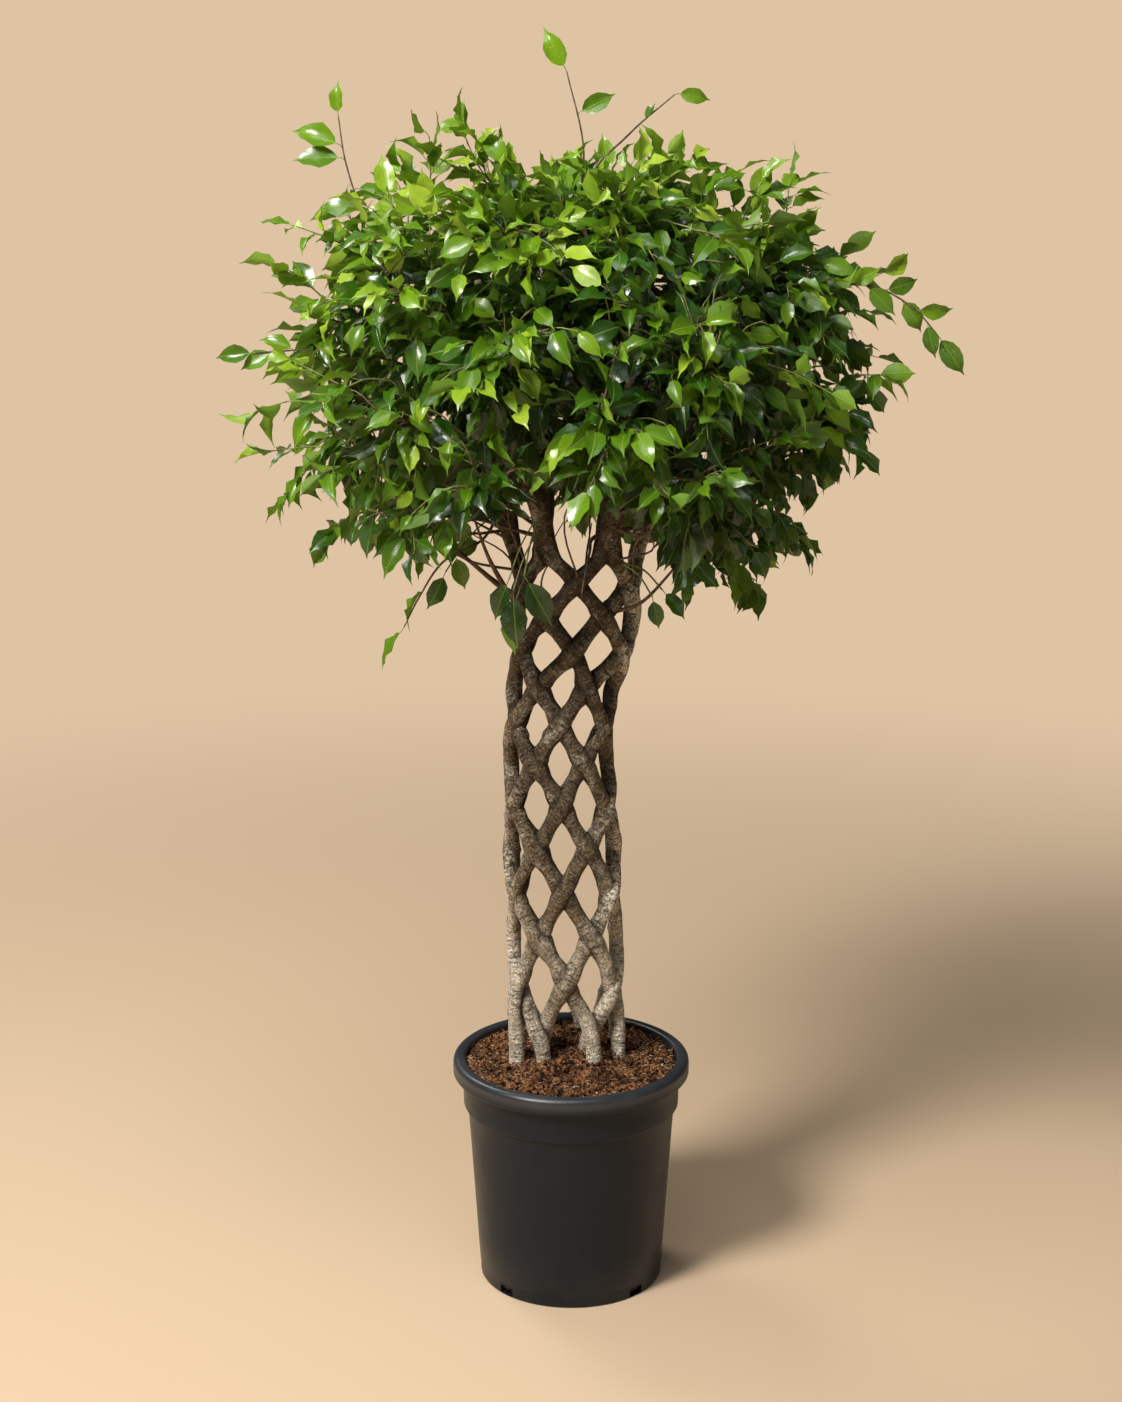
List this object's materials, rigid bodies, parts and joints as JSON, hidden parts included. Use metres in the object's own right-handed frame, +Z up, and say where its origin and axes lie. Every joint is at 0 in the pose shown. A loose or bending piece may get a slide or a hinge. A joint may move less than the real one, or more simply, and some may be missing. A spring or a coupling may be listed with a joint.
{
  "type": "potted weeping fig",
  "caption": "Weeping fig with a woven open lattice trunk and a rounded leafy crown, standing in a round tapered nursery pot filled with soil.",
  "frame": {"origin": "middle of the flat underside of the pot, on the surface it stands on", "axes": "+Z up along the pot's axis; -Y towards the front, the side from which the lattice rows line up; +X to the right seen from the front"},
  "size_m": [0.8592, 0.6902, 1.5504],
  "materials": {
    "pot_plastic": "satin moulded plastic",
    "soil": "loose coir and peat",
    "bark": "grey-brown bark with lenticels",
    "foliage": "glossy leaves on thin brown twigs"
  },
  "bodies": {
    "root": {"leafy_branch_01": "foliage", "leafy_branch_02": "foliage", "leafy_branch_03": "foliage", "leafy_branch_04": "foliage", "leafy_branch_05": "foliage", "leafy_branch_06": "foliage", "leafy_branch_07": "foliage", "leafy_branch_08": "foliage", "leafy_branch_09": "foliage", "leafy_branch_10": "foliage", "leafy_branch_11": "foliage", "leafy_branch_12": "foliage", "leafy_branch_13": "foliage", "leafy_branch_14": "foliage", "leafy_branch_15": "foliage", "leafy_branch_16": "foliage", "leafy_branch_17": "foliage", "leafy_branch_18": "foliage", "leafy_branch_19": "foliage", "leafy_branch_20": "foliage", "leafy_branch_21": "foliage", "leafy_branch_22": "foliage", "leafy_branch_23": "foliage", "leafy_branch_24": "foliage", "leafy_branch_25": "foliage", "leafy_branch_26": "foliage", "leafy_branch_27": "foliage", "leafy_branch_28": "foliage", "leafy_branch_29": "foliage", "leafy_branch_30": "foliage", "leafy_branch_31": "foliage", "leafy_branch_32": "foliage", "left_shoot": "foliage", "low_left_shoot": "foliage", "pot": "pot_plastic", "potting_soil": "soil", "right_shoot": "foliage", "stem_01": "bark", "stem_02": "bark", "stem_03": "bark", "stem_04": "bark", "stem_05": "bark", "stem_06": "bark", "stem_07": "bark", "stem_08": "bark", "stem_09": "bark", "stem_10": "bark", "stem_11": "bark", "stem_12": "bark", "top_shoot": "foliage", "upper_left_shoot": "foliage", "upper_right_shoot": "foliage"}
  },
  "joints": []
}
